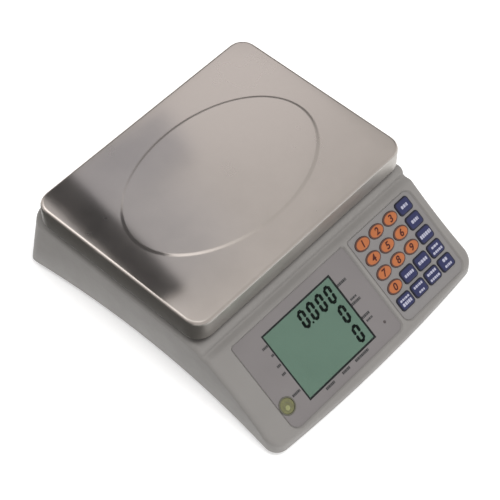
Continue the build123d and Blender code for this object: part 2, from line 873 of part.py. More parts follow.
def make_foot_screw(x, y):
    """Scalloped thumbwheel with its threaded stud."""
    wheel = post(foot_wheel_diameter, foot_pad_height + foot_wheel_gap, foot_wheel_top, x, y)
    reach = foot_wheel_diameter / 2 + 1.0
    for index in range(foot_wheel_scallops):
        angle = 2 * math.pi * index / foot_wheel_scallops
        rim_x = x + math.cos(angle) * reach
        rim_y = y + math.sin(angle) * reach
        wheel -= post(scallop_diameter, 0, foot_wheel_top + 1, rim_x, rim_y)
    return wheel + post(foot_stud, foot_wheel_top, foot_stud_top, x, y)


def make_foot_inserts():
    """Threaded bushes of the feet in the base plate."""
    bushes = []
    for x, y in foot_places.values():
        bush = post(foot_insert_diameter, base_bottom + 0.1, foot_insert_top, x, y)
        bushes.append(bush - post(foot_stud + 2 * thread_gap, 0, 30, x, y))
    return Compound(bushes)


def make_all():
    """Every node, by name."""
    nodes = {
        "upper_housing": make_upper_housing(),
        "base_plate": make_base_plate(),
        "housing_screws": make_housing_screws(),
        "battery": make_battery(),
        "battery_door": make_battery_door(),
        "door_screws": make_door_screws(),
        "load_cell": make_load_cell(),
        "load_cell_bracket": make_cell_end_block(-bolt_x, bracket_bottom, cell_bottom),
        "load_cell_base_bolts": make_cell_bolts(-bolt_x, base_bolt_seat, cell_bottom + 12, -1),
        "overload_stop": make_overload_stop(),
        "load_cell_spacer": make_cell_end_block(bolt_x, cell_bottom + cell_height, spider_bottom),
        "load_cell_top_bolts": make_cell_bolts(bolt_x, spider_bottom + 6, cell_bottom + 10, 1),
        "pan_support": make_pan_support(),
        "pan_buffers": make_pan_buffers(),
        "pan": make_pan(),
        "display_overlay": make_display_overlay(),
        "display_window": make_display_window(),
        "lcd_bezel": make_lcd_bezel(),
        "lcd_glass": make_lcd_glass(),
        "lcd_board": make_lcd_board(),
        "keypad_overlay": make_keypad_overlay(),
        "keypad_mat": make_keypad_mat(),
        "keypad_board": make_keypad_board(),
        "main_board": make_main_board(),
        "board_screws": make_board_screws(),
        "level_cup": make_level_cup(),
        "level_vial": make_level_vial(),
        "charge_lamp": make_charge_lamp(),
        "power_switch_body": make_switch_body(),
        "power_rocker": make_power_rocker(),
        "power_inlet": make_power_inlet(),
        "foot_inserts": make_foot_inserts(),
    }
    for place, (x, y) in foot_places.items():
        nodes[f"foot_pad_{place}"] = make_foot_pad(x, y)
        nodes[f"foot_screw_{place}"] = make_foot_screw(x, y)
    for name, round_one, x, v in key_places():
        nodes[name] = make_key(round_one, x, v)
    return nodes


os.makedirs("parts", exist_ok=True)
for node_name, shape in make_all().items():
    save(shape, node_name)
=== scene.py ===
import json
import math

import bmesh
import bpy
from mathutils import Matrix, Vector


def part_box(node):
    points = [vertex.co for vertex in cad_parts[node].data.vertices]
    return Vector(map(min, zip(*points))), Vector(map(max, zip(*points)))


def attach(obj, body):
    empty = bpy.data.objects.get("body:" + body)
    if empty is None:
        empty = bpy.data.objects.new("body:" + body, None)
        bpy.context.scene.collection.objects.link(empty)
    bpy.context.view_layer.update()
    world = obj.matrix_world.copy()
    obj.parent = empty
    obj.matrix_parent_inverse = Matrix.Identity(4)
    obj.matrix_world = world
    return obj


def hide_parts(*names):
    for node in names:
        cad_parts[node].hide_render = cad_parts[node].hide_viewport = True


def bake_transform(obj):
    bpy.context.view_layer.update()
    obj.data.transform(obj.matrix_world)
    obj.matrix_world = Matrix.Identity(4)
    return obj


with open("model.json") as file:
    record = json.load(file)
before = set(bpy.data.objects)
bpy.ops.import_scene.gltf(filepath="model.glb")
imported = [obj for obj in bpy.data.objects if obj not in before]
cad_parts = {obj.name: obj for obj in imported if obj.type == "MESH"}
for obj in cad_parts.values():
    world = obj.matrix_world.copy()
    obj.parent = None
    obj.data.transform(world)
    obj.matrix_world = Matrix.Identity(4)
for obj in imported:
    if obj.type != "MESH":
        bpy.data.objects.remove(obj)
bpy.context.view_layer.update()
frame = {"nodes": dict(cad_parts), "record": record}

# Counting scale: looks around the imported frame. Metres, X right, Y back, Z up.
# Plain numbers below are millimetres; v runs down the sloping panel and w out of its face.

MM = 0.001
PANEL_ANGLE = math.radians(34.7)
CREASE_Y = -84.5
DECK_Z = 79.5
OVERLAY_TOP = -1.4
KEY_TOP = -0.2
PRINT_SIZE = 10.2
PRINT_THICKNESS = 0.12
PRINT_BOLD = 0.28
KEY_FACE_PROFILE = ((-1.5, 0.0), (-1.6, 0.12), (-2.1, 0.22))
KEY_DOME_PROFILE = ((0.55, 0.34), (0.25, 0.4))
KEY_X = 58.6
KEY_V = 15.2
KEY_PITCH_X = 21.4
KEY_PITCH_V = 18.05
ROUND_KEY = (19.6, 13.6)
SQUARE_KEY = (19.4, 15.0)
SQUARE_CORNER = 3.4
PAN_BEND = 4.0
PAN_CORNER = 18.0
PAN_SHEET = 1.2
PAN_HEM = 1.2
PAN_INSET = 0.02
PLATEAU_HALF = (114.2, 72.2)
PLATEAU_SLOPE = 4.6
PLATEAU_RISE = 0.8
LEVEL_X = -113.2
LEVEL_V = 81.2
LEVEL_RADIUS = 7.8
LEVEL_TOP = -1.25
BUBBLE_RADIUS = 2.6
BUBBLE_SHIFT = (-0.8, 1.6)

normal = Vector((0, -math.sin(PANEL_ANGLE), math.cos(PANEL_ANGLE)))
down_slope = Vector((0, -math.cos(PANEL_ANGLE), -math.sin(PANEL_ANGLE)))
panel_origin = Vector((0, CREASE_Y * MM, DECK_Z * MM))
scene = bpy.context.scene


def on_panel(x, v, w):
    """Point of the sloping panel: x across, v down the slope, w out of the face, in mm."""
    return panel_origin + Vector((x * MM, 0, 0)) + down_slope * (v * MM) + normal * (w * MM)


# ---------------------------------------------------------------- materials


def new_material(name):
    """Material with a Principled shader; returns it with its tree and shader."""
    material = bpy.data.materials.new(name)
    material.use_nodes = True
    tree = material.node_tree
    return material, tree, tree.nodes["Principled BSDF"]


def coordinates(tree, scale=(1, 1, 1)):
    """Object coordinates, stretched by scale."""
    source = tree.nodes.new("ShaderNodeTexCoord")
    mapping = tree.nodes.new("ShaderNodeMapping")
    mapping.inputs["Scale"].default_value = scale
    tree.links.new(source.outputs["Object"], mapping.inputs["Vector"])
    return mapping.outputs["Vector"]


def noise(tree, vector, scale, detail=4, roughness=0.6):
    """Noise texture's value."""
    node = tree.nodes.new("ShaderNodeTexNoise")
    node.inputs["Scale"].default_value = scale
    node.inputs["Detail"].default_value = detail
    node.inputs["Roughness"].default_value = roughness
    tree.links.new(vector, node.inputs["Vector"])
    return node.outputs["Fac"]


def ramp(tree, value, low, high, start=0.3, end=0.7):
    """Colour that runs from low to high."""
    node = tree.nodes.new("ShaderNodeValToRGB")
    node.color_ramp.elements[0].position = start
    node.color_ramp.elements[0].color = (*low, 1)
    node.color_ramp.elements[1].position = end
    node.color_ramp.elements[1].color = (*high, 1)
    tree.links.new(value, node.inputs["Fac"])
    return node.outputs["Color"]


def spread(tree, value, low, high):
    """Value mapped to a range."""
    node = tree.nodes.new("ShaderNodeMapRange")
    node.inputs["From Min"].default_value = 0.3
    node.inputs["From Max"].default_value = 0.7
    node.inputs["To Min"].default_value = low
    node.inputs["To Max"].default_value = high
    tree.links.new(value, node.inputs["Value"])
    return node.outputs["Result"]


def bump(tree, height, strength, distance, under=None):
    """Bump from a height, on top of another one."""
    node = tree.nodes.new("ShaderNodeBump")
    node.inputs["Strength"].default_value = strength
    node.inputs["Distance"].default_value = distance
    tree.links.new(height, node.inputs["Height"])
    if under:
        tree.links.new(under, node.inputs["Normal"])
    return node.outputs["Normal"]


def shade(color, factor):
    """Colour made lighter or darker."""
    return tuple(min(1.0, channel * factor) for channel in color)


def plastic(name, color, roughness, grain, variation=0.05):
    """Moulded plastic: fine spark-eroded grain, slow colour drift, handling marks."""
    material, tree, shader = new_material(name)
    place = coordinates(tree)
    drift = noise(tree, place, 9, 3)
    grit = noise(tree, place, 2600, 2, 0.5)
    marks = noise(tree, place, 45, 6, 0.7)
    tone = ramp(tree, drift, shade(color, 1 - variation), shade(color, 1 + variation))
    tree.links.new(tone, shader.inputs["Base Color"])
    rough = spread(tree, marks, roughness - 0.05, roughness + 0.07)
    tree.links.new(rough, shader.inputs["Roughness"])
    tree.links.new(bump(tree, grit, grain, 0.00006), shader.inputs["Normal"])
    return material


def brushed_metal(name, color, roughness, stretch=(30, 2200, 2200), strength=0.12):
    """Metal with fine lines along the axis of least stretch, and faint stains."""
    material, tree, shader = new_material(name)
    lines = noise(tree, coordinates(tree, stretch), 1, 5, 0.65)
    stains = noise(tree, coordinates(tree), 14, 5, 0.6)
    tone = ramp(tree, stains, shade(color, 0.95), shade(color, 1.04))
    tree.links.new(tone, shader.inputs["Base Color"])
    shader.inputs["Metallic"].default_value = 1.0
    rough = spread(tree, stains, roughness - 0.04, roughness + 0.05)
    tree.links.new(rough, shader.inputs["Roughness"])
    tree.links.new(bump(tree, lines, strength, 0.00005), shader.inputs["Normal"])
    return material


def cast_metal(name, color):
    """Cast aluminium: pebbly skin."""
    material, tree, shader = new_material(name)
    place = coordinates(tree)
    skin = noise(tree, place, 900, 4, 0.6)
    drift = noise(tree, place, 20, 4)
    tone = ramp(tree, drift, shade(color, 0.9), shade(color, 1.06))
    tree.links.new(tone, shader.inputs["Base Color"])
    shader.inputs["Metallic"].default_value = 1.0
    tree.links.new(spread(tree, drift, 0.44, 0.58), shader.inputs["Roughness"])
    tree.links.new(bump(tree, skin, 0.5, 0.0002), shader.inputs["Normal"])
    return material


def rubber(name, color):
    """Matt rubber with dust in its grain."""
    material, tree, shader = new_material(name)
    dust = noise(tree, coordinates(tree), 160, 6, 0.75)
    tone = ramp(tree, dust, color, shade(color, 1.8), 0.45, 0.85)
    tree.links.new(tone, shader.inputs["Base Color"])
    tree.links.new(spread(tree, dust, 0.67, 0.83), shader.inputs["Roughness"])
    tree.links.new(bump(tree, dust, 0.3, 0.0001), shader.inputs["Normal"])
    return material


def film(name, color, roughness=0.38, wave=0.1, gloss=0.5):
    """Printed polycarbonate film: very fine matt tooth and slight waves."""
    material, tree, shader = new_material(name)
    place = coordinates(tree)
    tooth = noise(tree, place, 4200, 2, 0.5)
    waves = noise(tree, place, 22, 2, 0.5)
    tone = ramp(tree, waves, shade(color, 0.965), shade(color, 1.035))
    tree.links.new(tone, shader.inputs["Base Color"])
    rough = spread(tree, waves, roughness - 0.04, roughness + 0.05)
    tree.links.new(rough, shader.inputs["Roughness"])
    shader.inputs["Specular IOR Level"].default_value = gloss
    soft = bump(tree, waves, wave, 0.0004)
    tree.links.new(bump(tree, tooth, 0.25, 0.00003, soft), shader.inputs["Normal"])
    return material


def circuit(name, color):
    """Solder mask with track-like cells."""
    material, tree, shader = new_material(name)
    cells = tree.nodes.new("ShaderNodeTexVoronoi")
    cells.distance = "CHEBYCHEV"
    cells.inputs["Scale"].default_value = 320
    tree.links.new(coordinates(tree), cells.inputs["Vector"])
    tone = ramp(tree, cells.outputs["Distance"], shade(color, 0.7), shade(color, 1.5), 0.2, 0.6)
    tree.links.new(tone, shader.inputs["Base Color"])
    shader.inputs["Roughness"].default_value = 0.35
    tree.links.new(bump(tree, cells.outputs["Distance"], 0.3, 0.0001), shader.inputs["Normal"])
    return material


def clear_film(name):
    """Clear matt sheet, seen only by its faint sheen."""
    material, tree, shader = new_material(name)
    waves = noise(tree, coordinates(tree), 30, 2)
    tone = ramp(tree, waves, (0.018, 0.02, 0.019), (0.02, 0.022, 0.021))
    tree.links.new(tone, shader.inputs["Base Color"])
    tree.links.new(spread(tree, waves, 0.3, 0.36), shader.inputs["Roughness"])
    shader.inputs["Specular IOR Level"].default_value = 0.1
    shader.inputs["Alpha"].default_value = 0.05
    return material


def level_liquid(name, low, high):
    """Tinted liquid, slightly cloudy, under a glossy skin."""
    material, tree, shader = new_material(name)
    cloud = noise(tree, coordinates(tree), 130, 3)
    tree.links.new(ramp(tree, cloud, low, high), shader.inputs["Base Color"])
    tree.links.new(spread(tree, cloud, 0.12, 0.2), shader.inputs["Roughness"])
    shader.inputs["Coat Weight"].default_value = 0.6
    shader.inputs["Coat Roughness"].default_value = 0.05
    return material


HOUSING = (0.238, 0.227, 0.217)
ORANGE = (0.40, 0.125, 0.042)
NAVY = (0.022, 0.026, 0.085)
materials = {
    "housing": plastic("housing_plastic", HOUSING, 0.48, 0.4),
    "base": plastic("base_plastic", (0.20, 0.195, 0.19), 0.55, 0.5),
    "stainless": brushed_metal("stainless_sheet", (0.66, 0.60, 0.555), 0.3),
    "steel": brushed_metal("zinc_plated_steel", (0.55, 0.56, 0.58), 0.32, (300, 300, 2600), 0.2),
    "aluminium": cast_metal("cast_aluminium", (0.62, 0.62, 0.63)),
    "rubber": rubber("black_rubber", (0.02, 0.02, 0.02)),
    "mat_rubber": rubber("grey_silicone", (0.35, 0.36, 0.36)),
    "display_film": film("display_film", (0.19, 0.176, 0.176)),
    "keypad_film": film("keypad_film", (0.222, 0.212, 0.21)),
    "window": clear_film("clear_window"),
    "bezel": plastic("black_bezel", (0.008, 0.012, 0.012), 0.4, 0.2),
    "lcd": film("lcd_glass", (0.128, 0.208, 0.160), 0.4, 0.0, 0.3),
    "board": circuit("solder_mask", (0.03, 0.16, 0.06)),
    "battery_case": plastic("battery_case", (0.03, 0.03, 0.035), 0.4, 0.4),
    # Darker key bodies round the coloured faces: the dark rim round each key is painted shadow of the
    # gap round the key, not the keys' own colour.
    "key_orange": plastic("key_orange_rim_painted_shadow", (0.10, 0.045, 0.035), 0.4, 0.2),
    "key_blue": plastic("key_navy_rim_painted_shadow", (0.010, 0.011, 0.028), 0.4, 0.2),
    "level_ring": plastic("level_ring", (0.115, 0.112, 0.085), 0.4, 0.2),
    "level_fluid": level_liquid("level_fluid", (0.10, 0.098, 0.05), (0.18, 0.182, 0.075)),
    "lamp": plastic("lamp_lens", (0.085, 0.07, 0.07), 0.3, 0.1),
    "switch": plastic("switch_black", (0.015, 0.015, 0.016), 0.35, 0.3),
    "brass": brushed_metal("brass", (0.72, 0.52, 0.22), 0.3, (300, 300, 2600), 0.2),
}
# Darker copy of the stainless sheet for the skirt: its darker colour is painted shade; only its higher
# roughness is real.
skirt_painted_shade_metal = brushed_metal("stainless_skirt_painted_shade", (0.44, 0.42, 0.395), 0.42)
key_orange_face = plastic("key_orange_face", ORANGE, 0.4, 0.25, 0.1)
key_navy_face = plastic("key_navy_face", NAVY, 0.4, 0.25, 0.1)
digit_ink = film("digit_ink", (0.062, 0.008, 0.005), 0.45)
white_ink = film("white_ink", (0.40, 0.40, 0.50), 0.5)
label_ink = film("label_ink", (0.03, 0.03, 0.031), 0.5)
segment_ink = film("segment_ink", (0.004, 0.007, 0.006), 0.5, 0.0, 0.1)
bubble_gloss = level_liquid("bubble_gloss", (0.22, 0.23, 0.10), (0.30, 0.31, 0.14))

slot_of = {entry["node"]: entry["material_slot"] for entry in frame["record"]["subparts"]}
for node, item in frame["nodes"].items():
    item.data.materials.clear()
    item.data.materials.append(materials[slot_of[node]])

# ---------------------------------------------------------------- mesh helpers


def mesh_piece(name, vertices, faces, material, body, smooth=True):
    """Named piece with one material, riding on a body."""
    mesh = bpy.data.meshes.new(name)
    mesh.from_pydata([tuple(v) for v in vertices], [], faces)
    mesh.validate()
    shape = bmesh.new()
    shape.from_mesh(mesh)
    bmesh.ops.recalc_face_normals(shape, faces=shape.faces)
    shape.to_mesh(mesh)
    shape.free()
    for polygon in mesh.polygons:
        polygon.use_smooth = smooth
    mesh.materials.append(material)
    item = bpy.data.objects.new(name, mesh)
    scene.collection.objects.link(item)
    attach(item, body)
    return item


def loft(rings, close_start=True, close_end=True):
    """Vertices and faces of closed rings joined one after another."""
    count = len(rings[0])
    vertices = [point for ring in rings for point in ring]
    faces = []
    for level in range(len(rings) - 1):
        for index in range(count):
            after = (index + 1) % count
            low = level * count
            high = low + count
            faces.append((low + index, low + after, high + after, high + index))
    if close_start:
        faces.append(tuple(reversed(range(count))))
    if close_end:
        last = (len(rings) - 1) * count
        faces.append(tuple(range(last, last + count)))
    return vertices, faces


def oval(half_x, half_y, count=64):
    """Points of an ellipse."""
    angles = [2 * math.pi * index / count for index in range(count)]
    return [(half_x * math.cos(angle), half_y * math.sin(angle)) for angle in angles]


def rounded(half_x, half_y, corner, steps=8):
    """Points of a rectangle with round corners, anticlockwise from the right."""
    points = []
    for quarter, (sign_x, sign_y) in enumerate(((1, 1), (-1, 1), (-1, -1), (1, -1))):
        centre_x = sign_x * (half_x - corner)
        centre_y = sign_y * (half_y - corner)
        for step in range(steps + 1):
            angle = math.pi / 2 * (quarter + step / steps)
            points.append((centre_x + corner * math.cos(angle), centre_y + corner * math.sin(angle)))
    return points


def panel_ring(outline, x, v, w, grow=0.0, scale=1.0):
    """Ring of an outline laid on the panel; the outline's y runs up the slope."""
    ring = []
    for px, py in outline:
        length = math.hypot(px, py) or 1.0
        factor = scale + grow / length
        ring.append(on_panel(x + px * factor, v - py * factor, w))
    return ring


def strips(segments, thickness, x, v, w, height, slant=0.0):
    """Solid bars along segments given as (x0, y0, x1, y1), y up the slope, with pointed ends."""
    vertices = []
    faces = []
    for x0, y0, x1, y1 in segments:
        direction = Vector((x1 - x0, y1 - y0))
        direction.normalize()
        side = Vector((-direction.y, direction.x)) * (thickness / 2)
        along = direction * (thickness * 0.38)
        start = Vector((x0, y0))
        end = Vector((x1, y1))
        corners = [start, start + along - side, end - along - side]
        corners += [end, end - along + side, start + along + side]
        base = len(vertices)
        for level in (w, w + height):
            for corner in corners:
                shift = slant * corner.y
                vertices.append(on_panel(x + corner.x + shift, v - corner.y, level))
        faces.append(tuple(base + index for index in reversed(range(6))))
        faces.append(tuple(base + 6 + index for index in range(6)))
        for index in range(6):
            after = (index + 1) % 6
            faces.append((base + index, base + after, base + 6 + after, base + 6 + index))
    return vertices, faces


def bars(rows, x, v, w, height):
    """Small round-cornered blocks given as (centre x, centre y, length, width)."""
    vertices = []
    faces = []
    for centre_x, centre_y, length, width in rows:
        outline = rounded(length / 2, width / 2, min(length, width) * 0.3, 3)
        low = panel_ring(outline, x + centre_x, v - centre_y, w)
        high = panel_ring(outline, x + centre_x, v - centre_y, w + height)
        new_vertices, new_faces = loft([low, high])
        base = len(vertices)
        vertices += new_vertices
        faces += [tuple(base + index for index in face) for face in new_faces]
    return vertices, faces


# ---------------------------------------------------------------- pan


def pan_piece():
    """Pressed sheet: raised oval middle, flat border, bent edge, skirt and its round hem."""
    low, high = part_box("pan")
    centre = (low + high) / 2
    half_x = (high.x - low.x) / 2
    half_y = (high.y - low.y) / 2
    flat = high.z - PLATEAU_RISE * MM
    crown_z = high.z - PAN_INSET * MM
    bend = PAN_BEND * MM
    sheet = PAN_SHEET * MM
    count = 240

    def edge_point(direction, inset):
        """Where a ray from the centre meets the rounded rectangle."""
        reach_x = half_x - inset
        reach_y = half_y - inset
        radius = max(PAN_CORNER * MM - inset, 0.1 * MM)
        to_side = reach_x / max(abs(direction.x), 1e-9)
        to_end = reach_y / max(abs(direction.y), 1e-9)
        point = direction * min(to_side, to_end)
        inner = Vector((reach_x - radius, reach_y - radius))
        if abs(point.x) > inner.x and abs(point.y) > inner.y:
            corner_x = math.copysign(inner.x, point.x)
            corner_y = math.copysign(inner.y, point.y)
            corner_centre = Vector((corner_x, corner_y))
            along = direction.dot(corner_centre)
            away = corner_centre.length_squared - radius * radius
            reach = along + math.sqrt(max(along * along - away, 0))
            point = direction * reach
        return point

    def ring(points, z):
        """Closed ring of points at a height."""
        return [Vector((centre.x + p.x, centre.y + p.y, z)) for p in points]

    def plateau_ring(grow):
        """Oval of the plateau's crown, grown outwards."""
        half_long = (PLATEAU_HALF[0] + grow) * MM
        half_short = (PLATEAU_HALF[1] + grow) * MM
        return [Vector((half_long * math.cos(t), half_short * math.sin(t))) for t in angles]

    def edge_ring(inset, z):
        """Rounded rectangle of the pan's edge, drawn in by inset."""
        return ring([edge_point(direction, inset) for direction in directions], z)

    angles = [2 * math.pi * index / count for index in range(count)]
    crown = plateau_ring(0)
    directions = [point.normalized() for point in crown]
    rings = []
    for scale in (0.25, 0.5, 0.75, 0.9):
        rings.append(ring([p * scale for p in crown], crown_z))
    slope_steps = 14
    for step in range(slope_steps + 1):
        across = step / slope_steps
        fall = 0.5 - 0.5 * math.cos(math.pi * across)
        level = crown_z - (PLATEAU_RISE - PAN_INSET) * fall * MM
        rings.append(ring(plateau_ring(PLATEAU_SLOPE * across), level))
    inner_edge = [edge_point(direction, bend) for direction in directions]
    foot = plateau_ring(PLATEAU_SLOPE)
    for mix in (0.35, 0.7, 1.0):
        rings.append(ring([a.lerp(b, mix) for a, b in zip(foot, inner_edge)], flat))
    for step in range(1, 9):
        angle = math.pi / 2 * step / 8
        inset = bend * (1 - math.sin(angle))
        rings.append(edge_ring(inset, flat - bend * (1 - math.cos(angle))))
    for z in (flat - 12 * MM, low.z + PAN_HEM * MM):
        rings.append(edge_ring(0, z))
    for step in range(1, 5):
        angle = math.pi * step / 4
        inset = sheet / 2 * (1 - math.cos(angle))
        rings.append(edge_ring(inset, low.z + sheet / 2 * (1 - math.sin(angle))))
    rings.append(edge_ring(sheet, flat - bend))
    inner_bend = bend - sheet
    for step in range(1, 5):
        angle = math.pi / 2 * step / 4
        inset = sheet + inner_bend * (1 - math.cos(angle))
        rings.append(edge_ring(inset, flat - bend + inner_bend * math.sin(angle)))
    rings.append(ring(foot, flat - sheet))
    rings.append(ring(crown, high.z - sheet))
    rings.append(ring([p * 0.25 for p in crown], high.z - sheet))
    vertices, faces = loft(rings)
    piece = mesh_piece("pan_sheet", vertices, faces, materials["stainless"], "pan")
    # The upright skirt faces take the darker copy of the stainless: painted shade.
    piece.data.materials.append(skirt_painted_shade_metal)
    for polygon in piece.data.polygons:
        if abs(polygon.normal.z) < 0.5:
            polygon.material_index = 1
    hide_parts("pan")


pan_piece()

# ---------------------------------------------------------------- load cell


def bending_beam():
    """The load cell's shape, with its fixed and its free end, copied as a piece of its own in place of
    the imported part.
    """
    beam = bpy.data.objects.new("load_cell_beam", frame["nodes"]["load_cell"].data.copy())
    scene.collection.objects.link(beam)
    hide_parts("load_cell")
    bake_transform(beam)


bending_beam()

# ---------------------------------------------------------------- keys


def key_places():
    """Body name, whether it is a digit key, its digit or number, x and v."""
    places = []
    functions = 0
    for row in range(5):
        for column in range(4):
            x = KEY_X + column * KEY_PITCH_X
            v = KEY_V + row * KEY_PITCH_V
            if row < 3 and column < 3:
                digit = 3 * row + column + 1
                places.append((f"key_digit_{digit}", True, digit, x, v))
            elif row == 3 and column == 0:
                places.append(("key_digit_0", True, 0, x, v))
            else:
                functions += 1
                places.append((f"key_function_{functions}", False, functions, x, v))
    return places


def key_face(body, digit_key, x, v):
    """Coloured cap of a key, gently domed, inside the darker rim that paints the shadow of the gap
    round the key.
    """
    if digit_key:
        outline = oval(ROUND_KEY[0] / 2, ROUND_KEY[1] / 2)
        material = key_orange_face
    else:
        outline = rounded(SQUARE_KEY[0] / 2, SQUARE_KEY[1] / 2, SQUARE_CORNER)
        material = key_navy_face
    rings = []
    for grow, height in KEY_FACE_PROFILE:
        rings.append(panel_ring(outline, x, v, KEY_TOP + height, grow))
    for scale, height in KEY_DOME_PROFILE:
        rings.append(panel_ring(outline, x, v, KEY_TOP + height, 0, scale))
    vertices, faces = loft(rings)
    name = body.replace("key_", "key_face_")
    mesh_piece(name, vertices, faces, material, body)


def digit_piece(body, digit, x, v):
    """Raised printed digit on an orange key."""
    curve = bpy.data.curves.new(f"digit_{digit}", "FONT")
    curve.body = str(digit)
    curve.size = PRINT_SIZE * MM
    curve.align_x = "CENTER"
    curve.align_y = "CENTER"
    curve.extrude = PRINT_THICKNESS * MM
    curve.offset = PRINT_BOLD * MM
    curve.shear = 0.2
    text = bpy.data.objects.new(f"digit_{digit}_text", curve)
    scene.collection.objects.link(text)
    bpy.context.view_layer.update()
    depsgraph = bpy.context.evaluated_depsgraph_get()
    mesh = bpy.data.meshes.new_from_object(text.evaluated_get(depsgraph))
    bpy.data.objects.remove(text)
    across = [vertex.co.x for vertex in mesh.vertices]
    upward = [vertex.co.y for vertex in mesh.vertices]
    middle_x = (max(across) + min(across)) / 2
    middle_y = (max(upward) + min(upward)) / 2
    turn = Matrix.Rotation(PANEL_ANGLE, 4, "X")
    place = Matrix.Translation(on_panel(x, v, KEY_TOP + 0.36)) @ turn
    mesh.transform(place @ Matrix.Translation((-middle_x, -middle_y, 0)))
    mesh.materials.clear()
    mesh.materials.append(digit_ink)
    item = bpy.data.objects.new(f"key_digit_print_{digit}", mesh)
    scene.collection.objects.link(item)
    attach(item, body)


# Generic marks of the function keys: lines of small blocks (centre y, height, block lengths)
LEGENDS = {
    1: [(0.0, 3.4, (2.6, 2.4, 0.8, 1.6))],
    2: [(0.0, 3.6, (2.8, 2.2, 2.4, 0.9))],
    3: [(0.0, 4.0, (2.2, 2.4, 1.8, 2.6, 2.2, 1.4))],
    4: [(0.0, 3.2, (2.6, 2.2, 1.4, 2.6, 2.0))],
    5: [(0.0, 3.4, (2.0, 0.9, 2.8, 2.6, 2.2))],
    6: [(2.6, 2.4, (2.8, 3.2, 2.4)), (-3.0, 2.6, (2.6, 2.4, 1.8, 2.6, 2.0))],
    7: [(2.8, 2.2, (2.6, 2.2, 1.2, 2.6, 2.4)), (-1.9, 3.6, (2.8, 2.4, 1.4, 2.2, 2.0))],
    8: [(3.2, 2.6, (2.2, 2.6, 1.2, 2.4, 2.2)), (-3.4, 2.2, (2.4, 2.8, 1.6))],
    9: [(3.1, 2.8, (2.4, 1.4, 2.8, 2.2, 2.0)), (-3.4, 2.6, (2.6, 2.2, 2.6, 1.6, 2.8))],
    10: [(3.2, 3.4, (3.0, 2.6)), (-3.3, 2.6, (2.6, 1.2, 2.4, 1.8))],
}


def line_of_blocks(centre_x, centre_y, height, lengths, gap=0.5):
    """Row of blocks of the given lengths, centred, as wide apart as gap."""
    total = sum(lengths) + gap * (len(lengths) - 1)
    left = centre_x - total / 2
    rows = []
    for length in lengths:
        rows.append((left + length / 2, centre_y, length, height))
        left += length + gap
    return rows


def legend_piece(body, number, x, v):
    """Generic printed mark on a function key."""
    rows = []
    for centre_y, height, lengths in LEGENDS[number]:
        rows += line_of_blocks(0, centre_y, height, lengths)
    vertices, faces = bars(rows, x, v, KEY_TOP + 0.3, 0.14)
    name = f"key_function_print_{number}"
    mesh_piece(name, vertices, faces, white_ink, body, False)


for key_body, is_digit, number, key_x, key_v in key_places():
    key_face(key_body, is_digit, key_x, key_v)
    if is_digit:
        digit_piece(key_body, number, key_x, key_v)
    else:
        legend_piece(key_body, number, key_x, key_v)

# ---------------------------------------------------------------- display

LCD_X = -41.4
LCD_V = 53.9
POLARISER_HALF = (47.2, 37.2)
POLARISER_W = (-2.046, -2.036)
SEGMENT_W = -2.034
SEGMENT_THICKNESS = 0.012
DIGIT_HEIGHT = 16.4
DIGIT_WIDTH = 6.1
DIGIT_STROKE = 3.4
DIGIT_SLANT = 0.07
DIGIT_GAP = 0.1
DIGIT_PLACES = ((-42.6, 30.6), (-29.7, 30.6), (-17.0, 30.6), (-4.1, 30.6), (-4.4, 54.4), (-5.2, 78.1))
POINT_PLACE = (-36.6, 39.3)
POINT_SIZE = 2.2


def zero_segments():
    """The six lit segments of a 0, with the gaps of a real display."""
    half_w = DIGIT_WIDTH / 2
    half_h = DIGIT_HEIGHT / 2
    gap = DIGIT_GAP
    return [
        (-half_w + gap, half_h, half_w - gap, half_h),
        (half_w, half_h - gap, half_w, gap),
        (half_w, -gap, half_w, -half_h + gap),
        (-half_w + gap, -half_h, half_w - gap, -half_h),
        (-half_w, -gap, -half_w, -half_h + gap),
        (-half_w, half_h - gap, -half_w, gap),
    ]


def polariser():
    """Thin front sheet of the display, reaching over the inner lip of its frame."""
    outline = rounded(POLARISER_HALF[0], POLARISER_HALF[1], 0.3, 2)
    rings = [panel_ring(outline, LCD_X, LCD_V, w) for w in POLARISER_W]
    vertices, faces = loft(rings)
    mesh_piece("lcd_polariser", vertices, faces, materials["lcd"], "housing", False)


def lit_digits():
    """Zeros of the three rows and the point of the first."""
    thickness = SEGMENT_THICKNESS
    for index, (x, v) in enumerate(DIGIT_PLACES):
        vertices, faces = strips(zero_segments(), DIGIT_STROKE, x, v, SEGMENT_W, thickness, DIGIT_SLANT)
        mesh_piece(f"lcd_zero_{index + 1}", vertices, faces, segment_ink, "housing", False)
    point = [(0, 0, POINT_SIZE, POINT_SIZE)]
    vertices, faces = bars(point, POINT_PLACE[0], POINT_PLACE[1], SEGMENT_W, thickness)
    mesh_piece("lcd_point", vertices, faces, segment_ink, "housing", False)


# Printed labels round the display: left end, right end, v and height of each line of blocks
LABELS = {
    "right_1": [(7.1, 20.4, 29.1, 2.6)],
    "right_2": [(10.0, 18.4, 48.4, 2.0), (7.1, 20.4, 52.9, 2.6)],
    "right_3": [(7.8, 18.9, 69.5, 2.6), (10.0, 18.4, 74.9, 2.0)],
    "below_1": [(-26.7, -6.7, 96.1, 2.6)],
    "below_2": [(-46.0, -34.4, 96.1, 2.6)],
    "below_3": [(-70.0, -57.8, 96.1, 2.6)],
    "left_1": [(-97.8, -91.0, 25.3, 2.3)],
    "left_2": [(-94.4, -91.0, 35.6, 2.3)],
    "left_3": [(-96.7, -91.5, 47.3, 2.3)],
    "left_4": [(-97.8, -92.2, 56.2, 2.3)],
    "level": [(-102.7, -92.2, 78.2, 2.4)],
}


